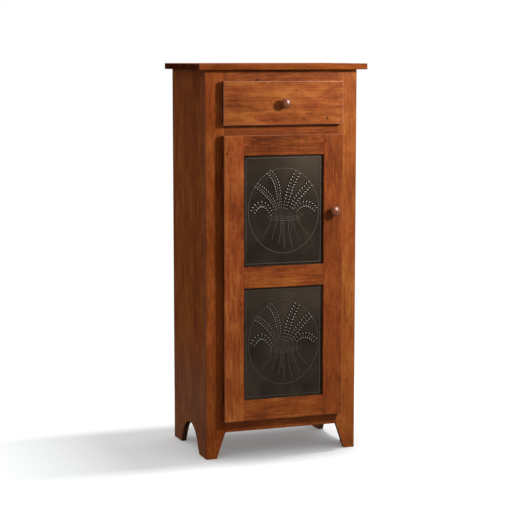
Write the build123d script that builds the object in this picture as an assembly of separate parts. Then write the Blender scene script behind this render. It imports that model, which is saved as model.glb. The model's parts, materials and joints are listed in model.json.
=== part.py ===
from build123d import *
import os
from math import cos, radians, sin

# A pie safe: a tall narrow cupboard with one drawer over one door, and a punched tin in each of
# the door's two windows. All lengths are in millimetres. The origin is on the floor under the
# middle of the whole piece, +X is to the right seen from the front, the front faces -Y, +Z is up.

# ---------------------------------------------------------------- driving dimensions

# Whole case
total_height = 1372.0
case_width = 559.0
case_depth = 376.0  # front of the face frame to the back edge of the sides

# Top board
top_thickness = 21.0
top_side_overhang = 29.0
top_front_overhang = 28.0
top_arris = 2.0

# Sides, each cut into a front and a rear foot
side_thickness = 19.0
side_foot_width = 82.0
arch_height = 95.0
arch_slope = 28.8  # degrees that the jambs of the arch lean from upright
dado_depth = 6.0

# Face frame
frame_thickness = 19.0
frame_stile_width = 70.0
frame_foot_width = 38.0
apron_height = 92.0  # floor to the underside of the bottom rail
frame_bottom_rail_width = 50.5
frame_middle_rail_width = 56.0
frame_top_rail_width = 50.0
drawer_opening_height = 127.5
frame_tenon_length = 25.0
frame_tenon_thickness = 6.0
frame_tenon_inset = 9.0
frame_arris = 1.5

# Panels, cleats and back inside the case
bottom_thickness = 19.0
divider_thickness = 12.0
cleat_thickness = 19.0
front_cleat_width = 80.0
rear_cleat_width = 34.0
back_thickness = 9.5
back_rabbet = 9.5
back_board_count = 4
back_lap = 7.0
back_board_gap = 0.8

# Shelves and their pins
shelf_thickness = 16.0
lower_shelf_height = 475.0
upper_shelf_height = 800.0
shelf_side_clearance = 0.8
shelf_setback = 12.0
pin_radius = 2.5
pin_hole_depth = 9.0
pin_hole_pitch = 32.0
pin_ledge_length = 9.0
pin_ledge_thickness = 2.5
pin_ledge_width = 7.0
pin_inset = 45.0

# Door and drawer front
overlay = 11.0  # how far the door and drawer front lap over the frame's opening
front_thickness = 21.0
front_arris = 3.0
door_stile_width = 73.0
door_top_rail_width = 70.0
door_middle_rail_width = 74.0
door_bottom_rail_width = 73.0
upper_window_height = 385.0
window_arris = 1.0
door_tenon_length = 30.0
door_tenon_thickness = 7.0
door_tenon_inset = 12.0

# Tins, held in a rabbet by strips
tin_thickness = 0.5
tin_recess = 9.0
tin_rabbet = 8.0
tin_clearance = 0.5
strip_setback = 1.5

# Hinges
hinge_height = 50.0
hinge_inset = 92.0  # end of the door to the middle of the hinge
leaf_thickness = 1.1
knuckle_radius = 2.7
hinge_pin_radius = 1.2
pin_running_clearance = 0.05
hinge_clearance = 0.3
door_leaf_width = 32.0
door_leaf_screw_inset = 19.0
frame_leaf_wrap = 16.0
hinge_screw_spacing = 30.0

# Magnetic catch
catch_height = 930.0
catch_width = 13.0
catch_depth = 24.0
catch_body_height = 30.0
catch_plate_height = 50.0
catch_plate_thickness = 1.6
magnet_width = 7.0
magnet_depth = 14.0
magnet_height = 24.0
strike_thickness = 1.0
bumper_radius = 4.0
bumper_inset = 20.0

# Knobs
knob_radius = 18.0
knob_length = 30.0
knob_head_half_height = 9.5
knob_shoulder_angle = -42.0  # degrees, where the round head meets the hollow neck
knob_neck_radius = 8.5
knob_foot_radius = 11.0
knob_foot_height = 1.5
door_knob_height = 860.0
knob_screw_bite = 14.0

# Drawer box
drawer_gap = 0.6
drawer_rear_clearance = 3.5  # rear cleat to the block that stops the drawer
drawer_side_clearance = 1.0
drawer_under_clearance = 0.3
drawer_top_clearance = 3.5
drawer_wall = 12.5
drawer_box_front_thickness = 15.0
drawer_housing = 4.0
drawer_bottom_thickness = 6.0
drawer_bottom_height = 9.0
drawer_groove = 6.0
stop_width = 28.0
stop_thickness = 9.0
stop_lap = 32.0
stop_rise = 9.0
stop_x = 100.0

# Runners and kicker of the drawer
runner_thickness = 19.0
runner_ledge = 16.0
guide_height = 18.0
kicker_width = 60.0

# Fasteners
screw_radius = 1.9
screw_head_radius = 3.9
screw_length = 32.0
screw_grip = 19.0  # wood left under a case screw's head
cleat_screw_x = 70.0
cleat_screw_inset = 70.0
runner_screw_inset = 52.0
small_screw_radius = 1.5
small_screw_head_radius = 3.0
small_screw_length = 14.0
front_screw_side_inset = 78.0
front_screw_edge_inset = 34.0
stop_screw_step = 7.0
machine_screw_radius = 2.0
machine_head_radius = 4.6
machine_head_height = 2.4
screw_slot = 0.9
nail_radius = 1.1
nail_head_radius = 2.6
nail_head_height = 0.8
nail_length = 30.0
nail_inset = 34.0
brad_radius = 0.6
brad_head_radius = 1.1
brad_length = 18.0
brad_inset = 59.0

# ---------------------------------------------------------------- places worked out from them

half_width = case_width / 2
inner_x = half_width - side_thickness
opening_x = half_width - frame_stile_width
case_top = total_height - top_thickness

door_gap = 2 * leaf_thickness + hinge_clearance
overall_depth = case_depth + door_gap + front_thickness + knob_length
front_y = -overall_depth / 2 + knob_length + front_thickness + door_gap
frame_back_y = front_y + frame_thickness
back_y = front_y + case_depth
back_face_y = back_y - back_thickness
frame_y = (front_y, frame_back_y)
inside_y = (frame_back_y, back_face_y)

drawer_opening_top = case_top - frame_top_rail_width
drawer_opening_floor = drawer_opening_top - drawer_opening_height
door_opening_top = drawer_opening_floor - frame_middle_rail_width
door_opening_floor = apron_height + frame_bottom_rail_width
bottom_z = (door_opening_floor - bottom_thickness, door_opening_floor)
divider_top = drawer_opening_floor - runner_thickness
divider_z = (divider_top - divider_thickness, divider_top)
cleat_z = (case_top - cleat_thickness, case_top)
front_cleat_y = (frame_back_y, frame_back_y + front_cleat_width)
rear_cleat_y = (back_face_y - rear_cleat_width, back_face_y)
shelf_floors = (lower_shelf_height, upper_shelf_height)
pin_rows_y = (frame_back_y + pin_inset, back_face_y - pin_inset)

front_x = opening_x + overlay
door_y = (front_y - door_gap - front_thickness, front_y - door_gap)
door_z = (door_opening_floor - overlay, door_opening_top + overlay)
window_x = front_x - door_stile_width
upper_window_top = door_z[1] - door_top_rail_width
upper_window_z = (upper_window_top - upper_window_height, upper_window_top)
lower_window_z = (door_z[0] + door_bottom_rail_width, upper_window_z[0] - door_middle_rail_width)
tin_y = (door_y[0] + tin_recess, door_y[0] + tin_recess + tin_thickness)
strip_y = (tin_y[1], door_y[1] - strip_setback)

hinge_pin_x = -(front_x + hinge_clearance + knuckle_radius)
hinge_pin_y = front_y - hinge_clearance - knuckle_radius
lower_hinge_z = door_z[0] + hinge_inset
upper_hinge_z = door_z[1] - hinge_inset
knob_x = front_x - door_stile_width / 2

drawer_front_y = (front_y - drawer_gap - front_thickness, front_y - drawer_gap)
drawer_front_z = (drawer_opening_floor - overlay, drawer_opening_top + overlay)
box_x = opening_x - drawer_side_clearance
box_inner_x = box_x - drawer_wall
box_front_y = (drawer_front_y[1], drawer_front_y[1] + drawer_box_front_thickness)
box_rear_y = rear_cleat_y[0] - drawer_rear_clearance - stop_thickness
box_back_y = (box_rear_y - drawer_wall, box_rear_y)
box_z = (drawer_opening_floor + drawer_under_clearance, drawer_opening_top - drawer_top_clearance)
drawer_bottom_floor = box_z[0] + drawer_bottom_height
drawer_knob_z = (drawer_front_z[0] + drawer_front_z[1]) / 2


# ---------------------------------------------------------------- simple shapes

def block(x, y, z):
    """A square-edged block between pairs of limits, in either order."""
    size = [abs(limits[1] - limits[0]) for limits in (x, y, z)]
    middle = [(limits[0] + limits[1]) / 2 for limits in (x, y, z)]
    return Pos(*middle) * Box(*size)


def grow(limits, amount):
    """Limits moved outwards by an amount at each end."""
    return (limits[0] - amount, limits[1] + amount)


def three_along(limits, inset):
    """Three places along a length: one near each end and one in the middle."""
    return (limits[0] + inset, sum(limits) / 2, limits[1] - inset)


def edges_at(shape, direction, **place):
    """The edges of a shape along a direction whose middles have the given coordinates."""
    chosen = []
    for edge in shape.edges().filter_by(direction):
        middle = edge.center()
        if all(abs(getattr(middle, axis) - value) < 0.01 for axis, value in place.items()):
            chosen.append(edge)
    return chosen


def turned(points):
    """A solid of revolution about +Z from (radius, height) points."""
    outline = Polyline([(radius, 0, height) for radius, height in points], close=True)
    return revolve(make_face(outline), Axis.Z)


def aimed(shape, point, direction):
    """A shape made along +Z from the origin, moved to a point and turned to a direction."""
    return Plane(origin=point, z_dir=direction) * shape


def export(name, *solids):
    """Writes one node, made of one solid or of a group of separate ones."""
    pieces = [piece for solid in solids for piece in solid.solids()]
    node = pieces[0] if len(pieces) == 1 else Compound(children=pieces)
    export_step(node, os.path.join("parts", name + ".step"))


# ---------------------------------------------------------------- fasteners

class Fastener:
    """A screw, nail or brad driven at a point: the metal itself and the hole that it fills."""

    def __init__(self, metal, point, direction, slot_radius=0.0, counterbore=0.0):
        self.hole = aimed(metal, point, direction)
        if counterbore:
            bore = Cylinder(slot_radius, counterbore, align=(Align.CENTER, Align.CENTER, Align.MAX))
            self.hole = self.hole + aimed(bore, point, direction)
        if slot_radius:
            top = metal.bounding_box().min.Z
            across = (-screw_slot / 2, screw_slot / 2)
            metal = metal - block((-slot_radius, slot_radius), across, (top, top + screw_slot))
        self.metal = aimed(metal, point, direction)


def flat_head(head_radius, radius, length):
    """A countersunk screw along +Z, with the top of its head at the origin."""
    sink = head_radius - radius
    return turned([(0, 0), (head_radius, 0), (radius, sink), (radius, length - radius), (0, length)])


def case_screw(point, direction, counterbore=0.0):
    metal = flat_head(screw_head_radius, screw_radius, screw_length)
    return Fastener(metal, point, direction, screw_head_radius, counterbore)


def small_screw(point, direction, passes=0.0):
    """A small countersunk screw, longer by the thickness of a board that it only passes through."""
    metal = flat_head(small_screw_head_radius, small_screw_radius, small_screw_length + passes)
    return Fastener(metal, point, direction, small_screw_head_radius)


def machine_screw(point, direction, length):
    """A pan-headed screw whose head stands on the surface at the point."""
    top = -machine_head_height
    metal = turned([
        (0, top), (0.7 * machine_head_radius, top), (machine_head_radius, top / 2),
        (machine_head_radius, 0), (machine_screw_radius, 0), (machine_screw_radius, length), (0, length)])
    return Fastener(metal, point, direction, machine_head_radius)


def nail(point, direction):
    metal = turned([
        (0, 0), (nail_head_radius, 0), (nail_head_radius, nail_head_height),
        (nail_radius, nail_head_height), (nail_radius, nail_length), (0, nail_length)])
    return Fastener(metal, point, direction)


def brad(point, direction):
    metal = turned([
        (0, 0), (brad_head_radius, 0), (brad_head_radius, brad_radius),
        (brad_radius, brad_radius), (brad_radius, brad_length), (0, brad_length)])
    return Fastener(metal, point, direction)


def drilled(shape, fasteners):
    """A shape with the holes of the fasteners that reach it."""
    reach = shape.bounding_box()
    for fastener in fasteners:
        near = fastener.hole.bounding_box()
        apart = (near.min.X > reach.max.X or near.max.X < reach.min.X
                 or near.min.Y > reach.max.Y or near.max.Y < reach.min.Y
                 or near.min.Z > reach.max.Z or near.max.Z < reach.min.Z)
        if not apart:
            shape = shape - fastener.hole
    return shape


def case_screws():
    """Screws up through the cleats into the top and through the kicker, and out into the sides."""
    screws = []
    head_z = case_top - screw_grip
    for y in (sum(front_cleat_y) / 2, sum(rear_cleat_y) / 2):
        for x in (cleat_screw_inset - inner_x, -cleat_screw_x, cleat_screw_x, inner_x - cleat_screw_inset):
            screws.append(case_screw((x, y, head_z), (0, 0, 1), cleat_thickness))
        kicker_head_z = cleat_z[0] - screw_grip
        screws.append(case_screw((0, y, kicker_head_z), (0, 0, 1), kicker_head_z - drawer_opening_top))
    guide_z = drawer_opening_floor + guide_height / 2
    for side in (-1, 1):
        head_x = inner_x - screw_grip
        for y in three_along(inside_y, runner_screw_inset):
            screws.append(case_screw((side * head_x, y, guide_z), (side, 0, 0), head_x - opening_x))
    return screws


def back_nails():
    """Nails through the back boards into the bottom panel, the divider and the rear cleat."""
    nails = []
    pitch = 2 * (inner_x + back_rabbet) / back_board_count
    for z in (sum(bottom_z) / 2, sum(divider_z) / 2, sum(cleat_z) / 2):
        for index in range(back_board_count):
            left = -(inner_x + back_rabbet) + index * pitch
            for x in (left + nail_inset, left + pitch - nail_inset):
                nails.append(nail((x, back_y, z), (0, -1, 0)))
    return nails


# ---------------------------------------------------------------- case

def top_board():
    board = block(
        (-half_width - top_side_overhang, half_width + top_side_overhang),
        (front_y - top_front_overhang, back_y), (case_top, total_height))
    return drilled(fillet(board.edges(), top_arris), screws_of_case)


def arch_cutter():
    """The opening between the feet of a side: two leaning jambs under a round head."""
    lean = radians(arch_slope)
    half_arch = case_depth / 2 - side_foot_width
    radius = (half_arch * cos(lean) - arch_height * sin(lean)) / (1 - sin(lean))
    spring_y = radius * cos(lean)
    spring_z = arch_height - radius + radius * sin(lean)
    outline = [
        Line((-half_arch, 0), (-spring_y, spring_z)),
        ThreePointArc((-spring_y, spring_z), (0, arch_height), (spring_y, spring_z)),
        Line((spring_y, spring_z), (half_arch, 0)),
        Line((half_arch, 0), (-half_arch, 0))]
    opening = Plane.YZ * make_face(outline)
    return Pos(0, front_y + case_depth / 2, 0) * extrude(opening, amount=case_width, both=True)


def pin_holes(side):
    """Three holes at each corner of each shelf; the pins stand in the middle ones."""
    holes = []
    for floor in shelf_floors:
        for y in pin_rows_y:
            for step in (-1, 0, 1):
                z = floor - pin_radius + step * pin_hole_pitch
                hole = Cylinder(pin_radius, pin_hole_depth, align=(Align.CENTER, Align.CENTER, Align.MIN))
                holes.append(aimed(hole, (side * inner_x, y, z), (side, 0, 0)))
    return holes


def case_side(side):
    """One side panel: grooves for the bottom and the divider, a rabbet for the back, an arch below."""
    panel = block((side * inner_x, side * half_width), (frame_back_y, back_y), (0, case_top))
    panel -= arch_cutter()
    panel -= block(
        (side * inner_x, side * (inner_x + back_rabbet)), (back_face_y, back_y), (bottom_z[0], case_top))
    for z in (bottom_z, divider_z):
        panel -= block((side * inner_x, side * (inner_x + dado_depth)), inside_y, z)
    for hole in pin_holes(side):
        panel -= hole
    return drilled(panel, screws_of_case)


def tenon(half_length, y, z, tenon_length, tenon_thickness, tenon_inset):
    """The tongue that runs through a rail of this half length and stands out of both its ends."""
    middle = (y[0] + y[1]) / 2
    thickness = (middle - tenon_thickness / 2, middle + tenon_thickness / 2)
    reach = half_length + tenon_length
    return block((-reach, reach), thickness, grow(z, -tenon_inset))


def frame_rail(z):
    tongue = tenon(opening_x, frame_y, z, frame_tenon_length, frame_tenon_thickness, frame_tenon_inset)
    return block((-opening_x, opening_x), frame_y, z) + tongue


def frame_stile(side, rails):
    """A stile down to the floor, whose foot tapers below the bottom rail."""
    outline = Polyline(
        (half_width, 0), (half_width, case_top), (opening_x, case_top), (opening_x, apron_height),
        (half_width - frame_foot_width, 0), close=True)
    stile = Pos(0, frame_back_y, 0) * extrude(Plane.XZ * make_face(outline), frame_thickness)
    stile = fillet(edges_at(stile, Axis.Z, X=half_width, Y=front_y), frame_arris)
    if side < 0:
        stile = mirror(stile, Plane.YZ)
    for piece in rails:
        stile -= piece
    return stile


def housed_panel(z):
    """A panel whose ends stand in the grooves of both sides."""
    reach = inner_x + dado_depth
    return drilled(block((-reach, reach), inside_y, z), nails_of_back)


def cleat(y):
    return drilled(drilled(block((-inner_x, inner_x), y, cleat_z), screws_of_case), nails_of_back)


def back_board(index):
    """One upright back board, with a lip at its right edge that laps behind the next board."""
    pitch = 2 * (inner_x + back_rabbet) / back_board_count
    left = -(inner_x + back_rabbet) + index * pitch
    right = left + pitch
    z = (bottom_z[0], case_top)
    rear_half = (back_y - back_thickness / 2, back_y)
    board = block((left, right), (back_face_y, back_y), z)
    if index > 0:
        board -= block((left, left + back_lap), rear_half, z)
        board -= block((left, left + back_board_gap), (back_face_y, back_y), z)
    if index < back_board_count - 1:
        board += block((right, right + back_lap - back_board_gap), rear_half, z)
    return drilled(board, nails_of_back)


def shelf(floor):
    reach = inner_x - shelf_side_clearance
    y = (frame_back_y + shelf_setback, back_face_y)
    return block((-reach, reach), y, (floor, floor + shelf_thickness))


def shelf_pins():
    """A pin with a flat ledge under each corner of each shelf."""
    pins = []
    for floor in shelf_floors:
        for side in (-1, 1):
            for y in pin_rows_y:
                stem = Cylinder(pin_radius, pin_hole_depth, align=(Align.CENTER, Align.CENTER, Align.MIN))
                stem = aimed(stem, (side * inner_x, y, floor - pin_radius), (side, 0, 0))
                ledge = block(
                    (side * inner_x, side * (inner_x - pin_ledge_length)),
                    grow((y, y), pin_ledge_width / 2), (floor - pin_ledge_thickness, floor))
                pins.append(stem + ledge)
    return pins


def runner(side):
    """A ledge under the drawer's side with a guide beside it, in one L-shaped strip."""
    ledge = block(
        (side * inner_x, side * (opening_x - runner_ledge)), inside_y, (divider_top, drawer_opening_floor))
    guide = block(
        (side * inner_x, side * opening_x), inside_y,
        (drawer_opening_floor, drawer_opening_floor + guide_height))
    return drilled(ledge + guide, screws_of_case)


def kicker():
    """The strip over the drawer that keeps it from tipping when it is pulled out."""
    strip = block((-kicker_width / 2, kicker_width / 2), inside_y, (drawer_opening_top, cleat_z[0]))
    return drilled(strip, screws_of_case)


# ---------------------------------------------------------------- hinges and catch

def knuckle(z, bore):
    tube = Cylinder(knuckle_radius, z[1] - z[0]) - Cylinder(bore, z[1] - z[0])
    return Pos(hinge_pin_x, hinge_pin_y, (z[0] + z[1]) / 2) * tube


def hinge_leaf(middle_z, plates, arm_y, knuckles, bore):
    """Flat plates joined by an arm to each knuckle of one leaf."""
    leaf = plates[0]
    for plate in plates[1:]:
        leaf += plate
    for z in knuckles:
        leaf += block((hinge_pin_x, -front_x), arm_y, z)
        leaf -= Pos(hinge_pin_x, hinge_pin_y, middle_z) * Cylinder(bore, hinge_height)
        leaf += knuckle(z, bore)
    return leaf


def frame_leaf(middle_z):
    """The leaf that wraps round the frame's stile, with the upper and lower knuckle."""
    low = middle_z - hinge_height / 2
    third = hinge_height / 3
    z = (low, low + hinge_height)
    on_face = (front_y - leaf_thickness, front_y)
    plates = [
        block((-front_x, -opening_x), on_face, z),
        block((-opening_x, -opening_x + leaf_thickness), (on_face[0], front_y + frame_leaf_wrap), z)]
    knuckles = [(low, low + third), (low + 2 * third, low + hinge_height)]
    leaf = hinge_leaf(middle_z, plates, on_face, knuckles, hinge_pin_radius)
    return drilled(leaf, screws_of_frame_leaves)


def door_leaf(middle_z):
    """The leaf on the back of the door, with the middle knuckle."""
    low = middle_z - hinge_height / 2
    third = hinge_height / 3
    on_door = (door_y[1], door_y[1] + leaf_thickness)
    plates = [block((-front_x, -front_x + door_leaf_width), on_door, (low, low + hinge_height))]
    knuckles = [(low + third + hinge_clearance, low + 2 * third - hinge_clearance)]
    bore = hinge_pin_radius + pin_running_clearance
    leaf = hinge_leaf(middle_z, plates, on_door, knuckles, bore)
    return drilled(leaf, screws_of_door_leaves)


def hinge_pin(middle_z):
    """A pin with a low button at each end, held tight in the frame leaf's knuckles."""
    half = hinge_height / 2
    cap = hinge_pin_radius
    pin = turned([
        (0, -half - cap), (cap, -half - cap), (knuckle_radius - hinge_clearance, -half - cap / 2),
        (knuckle_radius - hinge_clearance, -half), (hinge_pin_radius, -half), (hinge_pin_radius, half),
        (knuckle_radius - hinge_clearance, half), (knuckle_radius - hinge_clearance, half + cap / 2),
        (cap, half + cap), (0, half + cap)])
    return Pos(hinge_pin_x, hinge_pin_y, middle_z) * pin


def hinge_screws(x, y, direction):
    screws = []
    for middle_z in (lower_hinge_z, upper_hinge_z):
        for z in (middle_z - hinge_screw_spacing / 2, middle_z + hinge_screw_spacing / 2):
            screws.append(small_screw((x, y, z), direction))
    return screws


def catch_magnet():
    """The magnet between its pole plates, just short of the strike plate."""
    face_y = front_y - door_gap + strike_thickness + hinge_clearance
    middle_x = opening_x - catch_width / 2
    return block(
        (middle_x - magnet_width / 2, middle_x + magnet_width / 2), (face_y, face_y + magnet_depth),
        (catch_height - magnet_height / 2, catch_height + magnet_height / 2))


def catch_housing():
    """The body of the catch, screwed to the edge of the latch-side stile."""
    body = block(
        (opening_x - catch_width, opening_x), (front_y, front_y + catch_depth),
        (catch_height - catch_body_height / 2, catch_height + catch_body_height / 2))
    plate = block(
        (opening_x - catch_plate_thickness, opening_x), (front_y, front_y + frame_thickness),
        (catch_height - catch_plate_height / 2, catch_height + catch_plate_height / 2))
    return drilled(body + plate - catch_magnet(), screws_of_catch)


def catch_screws():
    reach = (catch_plate_height + catch_body_height) / 4
    x = opening_x - catch_plate_thickness
    y = front_y + frame_thickness / 2
    return [small_screw((x, y, catch_height + step), (1, 0, 0)) for step in (-reach, reach)]


def catch_strike():
    """The steel plate on the door's back that the magnet pulls."""
    return block(
        (opening_x - catch_width, opening_x), (door_y[1], door_y[1] + strike_thickness),
        grow((catch_height, catch_height), catch_body_height / 2))


def door_bumpers():
    """Two felt pads that meet the frame at the latch side of the door."""
    thickness = door_gap - hinge_clearance
    pad = Cylinder(bumper_radius, thickness, align=(Align.CENTER, Align.CENTER, Align.MIN))
    x = opening_x + overlay / 2
    return [aimed(pad, (x, door_y[1], z), (0, 1, 0)) for z in grow(door_z, -bumper_inset)]


# ---------------------------------------------------------------- door

def rounded_front(x, y, z):
    """A board with its four front edges rounded over."""
    board = block(x, y, z)
    front = edges_at(board, Axis.X, Y=y[0]) + edges_at(board, Axis.Z, Y=y[0])
    return fillet(front, front_arris)


def door_blank():
    """The door's frame before it is parted into boards: rounded outside, eased and rabbeted windows."""
    blank = rounded_front((-front_x, front_x), door_y, door_z)
    for z in (lower_window_z, upper_window_z):
        blank -= block((-window_x, window_x), door_y, z)
        eased = []
        for x in (-window_x, window_x):
            eased += edges_at(blank, Axis.Z, X=x, Y=door_y[0], Z=sum(z) / 2)
        for height in z:
            eased += edges_at(blank, Axis.X, Y=door_y[0], Z=height)
        blank = fillet(eased, window_arris)
        blank -= block(grow((-window_x, window_x), tin_rabbet), (tin_y[0], door_y[1]), grow(z, tin_rabbet))
    return blank


def door_tenon(z):
    return tenon(window_x, door_y, z, door_tenon_length, door_tenon_thickness, door_tenon_inset)


def door_rail(blank, z):
    board = (blank & block((-window_x, window_x), door_y, z)) + door_tenon(z)
    return drilled(board, brads_of_tins)


def door_stile(blank, side, rail_places):
    stile = blank & block((side * window_x, side * front_x), door_y, door_z)
    for z in rail_places:
        stile -= door_tenon(z)
    return drilled(stile, screws_of_door_leaves + brads_of_tins + [door_knob_screw])


def tin(window_z):
    """A thin sheet that fills the rabbet of its window, less a little clearance."""
    margin = tin_rabbet - tin_clearance
    return block(grow((-window_x, window_x), margin), tin_y, grow(window_z, margin))


def tin_strips(window_z):
    """Four strips in the rabbet behind a tin: two across, two upright between them."""
    strips = []
    for low, high in ((window_z[0] - tin_rabbet, window_z[0]), (window_z[1], window_z[1] + tin_rabbet)):
        strips.append(block(grow((-window_x, window_x), tin_rabbet), strip_y, (low, high)))
    for side in (-1, 1):
        strips.append(block((side * window_x, side * (window_x + tin_rabbet)), strip_y, window_z))
    return [drilled(strip, brads_of_tins) for strip in strips]


def tin_brads():
    """Brads through the strips into the door's frame: two in each strip across, three upright."""
    brads = []
    y = sum(strip_y) / 2
    for z in (lower_window_z, upper_window_z):
        for x in grow((-window_x, window_x), -brad_inset):
            brads.append(brad((x, y, z[0]), (0, 0, -1)))
            brads.append(brad((x, y, z[1]), (0, 0, 1)))
        for height in three_along(z, brad_inset):
            for side in (-1, 1):
                brads.append(brad((side * window_x, y, height), (side, 0, 0)))
    return brads


def knob(point, screw):
    """A turned knob that faces -Y: a foot ring, a hollow neck and a flattened round head."""
    head_z = knob_length - knob_head_half_height
    sweep = 90 - knob_shoulder_angle
    angles = [radians(knob_shoulder_angle + sweep * step / 3) for step in range(4)]
    rim = [(knob_radius * cos(angle), head_z + knob_head_half_height * sin(angle)) for angle in angles]
    shoulder = rim[0]
    rim_start = (-knob_radius * sin(angles[0]), knob_head_half_height * cos(angles[0]))
    waist = (knob_neck_radius, (knob_foot_height + shoulder[1]) / 2)
    outline = [
        Line((0, 0), (knob_foot_radius, 0)),
        Line((knob_foot_radius, 0), (knob_foot_radius, knob_foot_height)),
        ThreePointArc((knob_foot_radius, knob_foot_height), waist, shoulder),
        Spline(rim[:-1] + [(0, knob_length)], tangents=[rim_start, (-1, 0)]),
        Line((0, knob_length), (0, 0))]
    shape = revolve(Plane.XZ * make_face(outline), Axis.Z)
    return aimed(shape, point, (0, -1, 0)) - screw.hole


# ---------------------------------------------------------------- drawer

def drawer_bottom():
    return block(
        grow((-box_inner_x, box_inner_x), drawer_groove),
        (box_front_y[1] - drawer_groove, box_back_y[0] + drawer_groove),
        (drawer_bottom_floor, drawer_bottom_floor + drawer_bottom_thickness))


def drawer_cross_board(y):
    """The box's front or back, housed at both ends in the drawer sides."""
    reach = box_inner_x + drawer_housing
    return block((-reach, reach), y, box_z)


def drawer_side(side):
    board = block((side * box_inner_x, side * box_x), (box_front_y[0], box_back_y[1]), box_z)
    for piece in (drawer_cross_board(box_front_y), drawer_cross_board(box_back_y), drawer_bottom()):
        board -= piece
    return board


def drawer_stop():
    """The block behind the drawer's back that meets the front cleat when the drawer is out."""
    return block(
        (stop_x - stop_width / 2, stop_x + stop_width / 2), (box_back_y[1], box_back_y[1] + stop_thickness),
        (box_z[1] - stop_lap, cleat_z[0] + stop_rise))


def drawer_screws():
    """Four screws from the box into the drawer front, and two through the stop into the back."""
    screws = []
    for x in grow((-box_inner_x, box_inner_x), -front_screw_side_inset):
        for z in grow(box_z, -front_screw_edge_inset):
            screws.append(small_screw((x, box_front_y[1], z), (0, -1, 0), drawer_box_front_thickness))
    for z in grow((box_z[1] - stop_lap / 2, box_z[1] - stop_lap / 2), stop_screw_step):
        screws.append(small_screw((stop_x, box_back_y[1] + stop_thickness, z), (0, -1, 0)))
    return screws


# ---------------------------------------------------------------- build and export

os.makedirs("parts", exist_ok=True)

screws_of_case = case_screws()
nails_of_back = back_nails()
screws_of_frame_leaves = hinge_screws(-opening_x + leaf_thickness, front_y + frame_thickness / 2, (-1, 0, 0))
screws_of_door_leaves = hinge_screws(
    -front_x + door_leaf_screw_inset, door_y[1] + leaf_thickness, (0, -1, 0))
screws_of_catch = catch_screws()
brads_of_tins = tin_brads()
screws_of_drawer = drawer_screws()
door_knob_screw = machine_screw(
    (knob_x, door_y[1], door_knob_height), (0, -1, 0), front_thickness + knob_screw_bite)
drawer_knob_screw = machine_screw(
    (0, box_front_y[1], drawer_knob_z), (0, -1, 0),
    drawer_box_front_thickness + front_thickness + knob_screw_bite)

export("top_board", top_board())
export("left_side", case_side(-1))
export("right_side", case_side(1))
frame_rails = {
    "frame_bottom_rail": frame_rail((apron_height, door_opening_floor)),
    "frame_middle_rail": frame_rail((door_opening_top, drawer_opening_floor)),
    "frame_top_rail": frame_rail((drawer_opening_top, case_top))}
for name, piece in frame_rails.items():
    export(name, piece)
export("frame_left_stile", drilled(frame_stile(-1, frame_rails.values()), screws_of_frame_leaves))
export("frame_right_stile", drilled(frame_stile(1, frame_rails.values()), screws_of_catch))
export("bottom_panel", housed_panel(bottom_z))
export("divider_panel", housed_panel(divider_z))
export("front_cleat", cleat(front_cleat_y))
export("rear_cleat", cleat(rear_cleat_y))
for number in range(back_board_count):
    export(f"back_board_{number + 1}", back_board(number))
export("back_nails", *[item.metal for item in nails_of_back])
export("lower_shelf", shelf(lower_shelf_height))
export("upper_shelf", shelf(upper_shelf_height))
export("shelf_pins", *shelf_pins())
export("left_runner", runner(-1))
export("right_runner", runner(1))
export("kicker", kicker())
export("case_screws", *[item.metal for item in screws_of_case])

export("lower_hinge_frame_leaf", frame_leaf(lower_hinge_z))
export("upper_hinge_frame_leaf", frame_leaf(upper_hinge_z))
export("lower_hinge_door_leaf", door_leaf(lower_hinge_z))
export("upper_hinge_door_leaf", door_leaf(upper_hinge_z))
export("hinge_pins", hinge_pin(lower_hinge_z), hinge_pin(upper_hinge_z))
export("hinge_frame_screws", *[item.metal for item in screws_of_frame_leaves])
export("hinge_door_screws", *[item.metal for item in screws_of_door_leaves])
export("catch_housing", catch_housing())
export("catch_magnet", catch_magnet())
export("catch_screws", *[item.metal for item in screws_of_catch])
export("catch_strike", catch_strike())
export("door_bumpers", *door_bumpers())

door_rail_places = {
    "door_bottom_rail": (door_z[0], lower_window_z[0]),
    "door_middle_rail": (lower_window_z[1], upper_window_z[0]),
    "door_top_rail": (upper_window_z[1], door_z[1])}
door_frame = door_blank()
for name, place in door_rail_places.items():
    export(name, door_rail(door_frame, place))
export("door_hinge_stile", door_stile(door_frame, -1, door_rail_places.values()))
export("door_latch_stile", door_stile(door_frame, 1, door_rail_places.values()))
export("lower_tin", tin(lower_window_z))
export("upper_tin", tin(upper_window_z))
export("lower_tin_strips", *tin_strips(lower_window_z))
export("upper_tin_strips", *tin_strips(upper_window_z))
export("tin_brads", *[item.metal for item in brads_of_tins])
export("door_knob", knob((knob_x, door_y[0], door_knob_height), door_knob_screw))
export("door_knob_screw", door_knob_screw.metal)

front_board = rounded_front((-front_x, front_x), drawer_front_y, drawer_front_z)
export("drawer_front", drilled(front_board, screws_of_drawer + [drawer_knob_screw]))
box_front = drawer_cross_board(box_front_y) - drawer_bottom()
export("drawer_box_front", drilled(box_front, screws_of_drawer + [drawer_knob_screw]))
export("drawer_back", drilled(drawer_cross_board(box_back_y) - drawer_bottom(), screws_of_drawer))
export("drawer_left_side", drawer_side(-1))
export("drawer_right_side", drawer_side(1))
export("drawer_bottom", drawer_bottom())
export("drawer_stop", drilled(drawer_stop(), screws_of_drawer))
export("drawer_screws", *[item.metal for item in screws_of_drawer])
export("drawer_knob", knob((0, drawer_front_y[0], drawer_knob_z), drawer_knob_screw))
export("drawer_knob_screw", drawer_knob_screw.metal)
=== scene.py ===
import json
import math

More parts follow.
